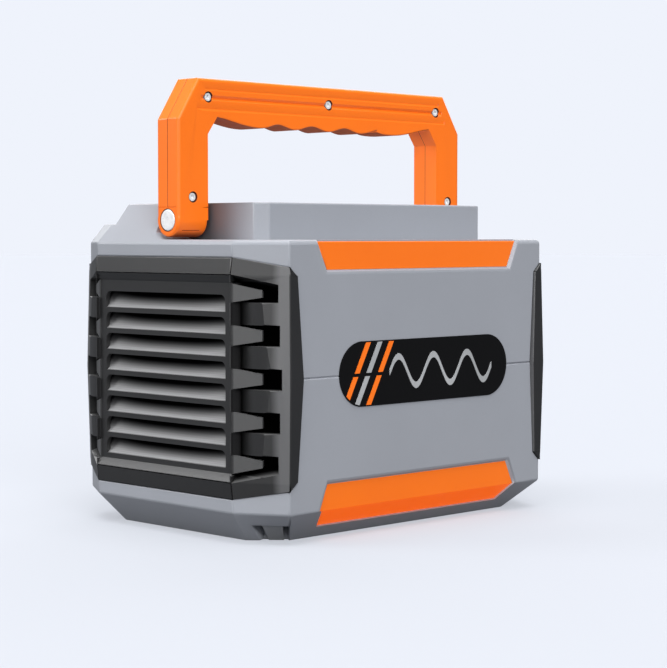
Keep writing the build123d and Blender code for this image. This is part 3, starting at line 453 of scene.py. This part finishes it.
def metal(name, color, roughness, streak=0.004):
    """Turned or drawn metal with fine streaks."""
    mat = Mat(name, roughness, metallic=1.0)
    line = mat.noise(streak, 5.0, 0.7)
    mat.color(mat.ramp(line, scaled(color, 0.85), scaled(color, 1.08), 0.35, 0.65))
    mat.roughness(mat.ramp(mat.noise(0.002, 3.0), roughness - 0.05, roughness + 0.12, 0.3, 0.7))
    mat.bump(mat.noise(0.0005, 2.0), 0.00001, 0.4)
    return mat.mat


def bright_steel():
    """Satin screw and pin heads."""
    mat = Mat("bright_steel", 0.35, metallic=0.2)
    mat.color(mat.ramp(mat.noise(0.003, 4.0), (0.86, 0.86, 0.87), (1.0, 1.0, 1.0), 0.35, 0.65))
    mat.roughness(mat.ramp(mat.noise(0.001, 3.0), 0.25, 0.45, 0.3, 0.7))
    return mat.mat


def display_lit():
    """Pale segments behind dark glass, a little uneven."""
    mat = Mat("display_lit", 0.35)
    mat.color(mat.ramp(mat.noise(0.004), (0.30, 0.42, 0.46), (0.46, 0.58, 0.62), 0.3, 0.7))
    mat.roughness(mat.ramp(mat.noise(0.002), 0.3, 0.45))
    return mat.mat


def build_materials():
    return {
        "grey_housing": grey_housing(),
        "orange_plastic": orange_plastic(),
        "handle_front": handle_plastic("handle_front", True, True),
        "handle_rear": handle_plastic("handle_rear", True, False),
        "handle_foot": handle_plastic("handle_foot", False, False),
        "orange_print": orange_plastic("orange_print", 0.1),
        "display_lit": display_lit(),
        "orange_trim": orange_plastic("orange_trim", 0.08, 0.56),
        "louvre_plastic": louvre_plastic(),
        "grey_print": dark_plastic("grey_print", (0.42, 0.43, 0.44)),
        "black_label": moulded_plastic("black_label", (0.004, 0.004, 0.0045), 0.5, specular=0.12).mat,
        "black_plastic": black_plastic(),
        "panel_plastic": dark_plastic("panel_plastic", (0.03, 0.03, 0.033)),
        "dark_fan_plastic": dark_plastic("dark_fan_plastic", (0.012, 0.012, 0.013)),
        "bright_steel": bright_steel(),
        "black_steel": metal("black_steel", (0.08, 0.08, 0.085), 0.4),
        "spring_steel": metal("spring_steel", (0.55, 0.55, 0.57), 0.3),
        "foot_rubber": dark_plastic("foot_rubber", (0.30, 0.31, 0.33), 0.8),
        "button_plastic": dark_plastic("button_plastic", (0.30, 0.31, 0.33), 0.45),
        "display_glass": dark_plastic("display_glass", (0.01, 0.012, 0.015), 0.12),
        "display_screen": dark_plastic("display_screen", (0.02, 0.04, 0.05), 0.2),
        "lamp_plastic": dark_plastic("lamp_plastic", (0.75, 0.76, 0.74), 0.35),
        "circuit_board": dark_plastic("circuit_board", (0.01, 0.10, 0.04), 0.4),
        "switch_plastic": dark_plastic("switch_plastic", (0.03, 0.03, 0.03)),
        "socket_plastic": dark_plastic("socket_plastic", (0.015, 0.015, 0.017), 0.4),
        "cap_rubber": dark_plastic("cap_rubber", (0.03, 0.03, 0.033), 0.7),
        "socket_steel": metal("socket_steel", (0.6, 0.6, 0.62), 0.3),
        "cell_wrap": dark_plastic("cell_wrap", (0.03, 0.12, 0.35), 0.3),
        "holder_plastic": dark_plastic("holder_plastic", (0.03, 0.03, 0.03)),
        "bracket_metal": metal("bracket_metal", (0.6, 0.6, 0.62), 0.35),
        "heat_sink_metal": metal("heat_sink_metal", (0.4, 0.4, 0.42), 0.4),
        "core_iron": dark_plastic("core_iron", (0.05, 0.05, 0.055), 0.6),
        "copper_winding": metal("copper_winding", (0.6, 0.25, 0.1), 0.35, 0.001),
        "capacitor_can": dark_plastic("capacitor_can", (0.02, 0.02, 0.05), 0.35),
    }


# ---------------------------------------------------------------- pieces
ENTRIES = {entry["node"]: entry for entry in frame["record"]["subparts"]}
SHARP = math.radians(20)     # edges that turn less than this stay smooth
SHORTEST = 2.5               # millimetres: shorter edges aren't rounded
WELD = 2e-6
FLAT = math.radians(0.6)
# Nodes whose look differs from the one of their material slot.
SPECIAL = {"lower_back_trim": "orange_trim", "left_louvre_panel": "louvre_plastic",
           "right_louvre_panel": "louvre_plastic", "handle_front_shell": "handle_front",
           "handle_rear_shell": "handle_rear", "left_handle_knuckle": "handle_foot",
           "right_handle_knuckle": "handle_foot"}
# Nodes that get rounded mould edges, with the width of the rounding in millimetres.
CRISP = {"upper_housing": 0.8, "lower_housing": 0.8, "handle_front_shell": 0.45, "handle_rear_shell": 0.45,
         "left_grille_frame": 0.5, "right_grille_frame": 0.5,
         "top_trim": 0.45, "lower_back_trim": 0.45, "front_panel": 0.4, "rubber_feet": 0.5,
         "badge_plate": 0.2}


def material_of(node):
    return materials[SPECIAL.get(node, ENTRIES[node]["material_slot"])]


def dress_nodes():
    for node in ENTRIES:
        data = nodes[node].data
        data.materials.clear()
        data.materials.append(material_of(node))


def merged_copy(node, name):
    """Copy of a CAD node whose flat faces are whole again, without triangle edges."""
    source = nodes[node]
    work = bmesh.new()
    work.from_mesh(source.data)
    work.transform(source.matrix_world)
    bmesh.ops.remove_doubles(work, verts=work.verts, dist=WELD)
    bmesh.ops.dissolve_limit(work, angle_limit=FLAT, verts=work.verts, edges=work.edges)
    mesh = bpy.data.meshes.new(name)
    work.to_mesh(mesh)
    work.free()
    piece = bpy.data.objects.new(name, mesh)
    bpy.context.scene.collection.objects.link(piece)
    return piece


def applied(piece):
    """Replace a piece's mesh by its modified one."""
    graph = bpy.context.evaluated_depsgraph_get()
    made = bpy.data.meshes.new_from_object(piece.evaluated_get(graph))
    piece.modifiers.clear()
    piece.data = made


def mark_edges(mesh, centre, shortest):
    """Give bevel weight to the long convex edges on the outside."""
    work = bmesh.new()
    work.from_mesh(mesh)
    work.normal_update()
    weight = work.edges.layers.float.new("bevel_weight_edge")
    for edge in work.edges:
        if len(edge.link_faces) != 2 or not edge.is_convex or edge.calc_length() < shortest:
            continue
        if edge.calc_face_angle() < SHARP:
            continue
        middle = (edge.verts[0].co + edge.verts[1].co) / 2
        outwards = edge.link_faces[0].normal + edge.link_faces[1].normal
        if outwards.dot(middle - centre) > 0:
            edge[weight] = 1.0
    work.to_mesh(mesh)
    work.free()


def crisp(node, width):
    """A node with the small edge rounding that a mould leaves."""
    piece = merged_copy(node, node + "_moulded")
    low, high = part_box(node)
    centre = (Vector(low) + Vector(high)) / 2
    mark_edges(piece.data, centre, SHORTEST * MM)
    for polygon in piece.data.polygons:
        polygon.use_smooth = True
    piece.data.set_sharp_from_angle(angle=SHARP)
    bevel = piece.modifiers.new("edge", "BEVEL")
    bevel.width = width * MM
    bevel.segments = 2
    bevel.limit_method = "WEIGHT"
    bevel.use_clamp_overlap = False
    smooth = piece.modifiers.new("normals", "WEIGHTED_NORMAL")
    smooth.keep_sharp = True
    smooth.weight = 100
    applied(piece)
    piece.data.materials.clear()
    piece.data.materials.append(material_of(node))
    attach(piece, body_of(node))
    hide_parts(node)
    return piece


def body_of(node):
    return nodes[node]["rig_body"]


class Print:
    """Thin printed marks on a face that looks along +Y, in millimetres."""

    def __init__(self, name, face, thick=0.05):
        self.name, self.face, self.thick = name, face, thick
        self.work = bmesh.new()

    def bar(self, x, z, width, height, turn=0.0):
        """Upright bar centred at (x, z), turned by turn degrees."""
        c, s = math.cos(math.radians(turn)), math.sin(math.radians(turn))
        corners = [(-width / 2, -height / 2), (width / 2, -height / 2), (width / 2, height / 2),
                   (-width / 2, height / 2)]
        rings = []
        for y in (self.face, self.face + self.thick):
            rings.append([self.work.verts.new(((x + u * c - v * s) * MM, y * MM, (z + u * s + v * c) * MM))
                          for u, v in corners])
        low, high = rings
        self.work.faces.new(high[::-1])
        for i in range(4):
            j = (i + 1) % 4
            self.work.faces.new((low[i], high[i], high[j], low[j]))

    def arc(self, x, z, radius, width, start, end, steps=20):
        """Round line from start to end degrees."""
        step = (end - start) / steps
        length = 2 * radius * math.sin(math.radians(step / 2)) * 1.06
        for i in range(steps):
            angle = start + (i + 0.5) * step
            a = math.radians(angle)
            self.bar(x + radius * math.cos(a), z + radius * math.sin(a), abs(length), width, angle + 90)

    def done(self, material):
        mesh = bpy.data.meshes.new(self.name)
        self.work.to_mesh(mesh)
        self.work.free()
        mesh.materials.append(material)
        piece = bpy.data.objects.new(self.name, mesh)
        bpy.context.scene.collection.objects.link(piece)
        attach(piece, "housing")


def centre_of(node):
    low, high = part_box(node)
    middle = (low + high) / 2 / MM
    return middle.x, middle.z


def front_marks():
    """Plain symbols above the buttons and round the sockets of the control panel."""
    marks = Print("panel_marks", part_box("front_panel")[1].y / MM)
    for node in ("power_button", "light_button", "ac_button", "dc_button"):
        x, z = centre_of(node)
        marks.arc(x, z, 7.3, 0.45, 0, 360, 36)
        z += 11.4
        if node == "power_button":
            marks.arc(x, z, 1.9, 0.5, 125, 415)
            marks.bar(x, z + 1.5, 0.5, 2.2)
        elif node == "light_button":
            marks.arc(x, z, 1.0, 0.5, 0, 360, 16)
            for turn in range(0, 360, 45):
                a = math.radians(turn)
                marks.bar(x + 2.2 * math.cos(a), z + 2.2 * math.sin(a), 0.9, 0.4, turn)
        elif node == "ac_button":
            marks.arc(x - 1.2, z, 1.2, 0.5, 0, 180, 12)
            marks.arc(x + 1.2, z, 1.2, 0.5, 180, 360, 12)
        else:
            marks.bar(x, z + 0.7, 4.4, 0.5)
            for i in (-1, 0, 1):
                marks.bar(x + 1.6 * i, z - 0.7, 1.0, 0.5)
    for z in (107.5, 81.5):
        marks.bar(0, z, 150, 0.35)
    marks.done(materials["grey_print"])


def display_marks():
    """Charge bars and a power scale that show through the display lens."""
    x, z = centre_of("display_lens")
    marks = Print("display_marks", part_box("display_lens")[1].y / MM)
    for i in range(5):
        marks.bar(x - 19 + 5.2 * i, z, 3.8, 11)
    for turn_z in (-8.2, 8.2):
        marks.bar(x - 8.6, z + turn_z, 29, 0.6)
    for side in (-22.8, 5.6):
        marks.bar(x + side, z, 0.6, 16.4)
    marks.bar(x + 7.2, z, 1.6, 6)
    for i in range(9):
        a = math.radians(20 + 17.5 * i)
        reach = 7.0
        marks.bar(x + 18.4 + reach * math.cos(a), z - 4 + reach * math.sin(a), 2.6, 0.7, 20 + 17.5 * i)
    marks.bar(x + 16.6, z - 2.0, 5.4, 0.6, 130)
    marks.done(materials["display_lit"])


make_camera()
make_light()
make_floor()
materials = build_materials()
dress_nodes()
for node, width in CRISP.items():
    crisp(node, width)
front_marks()
display_marks()
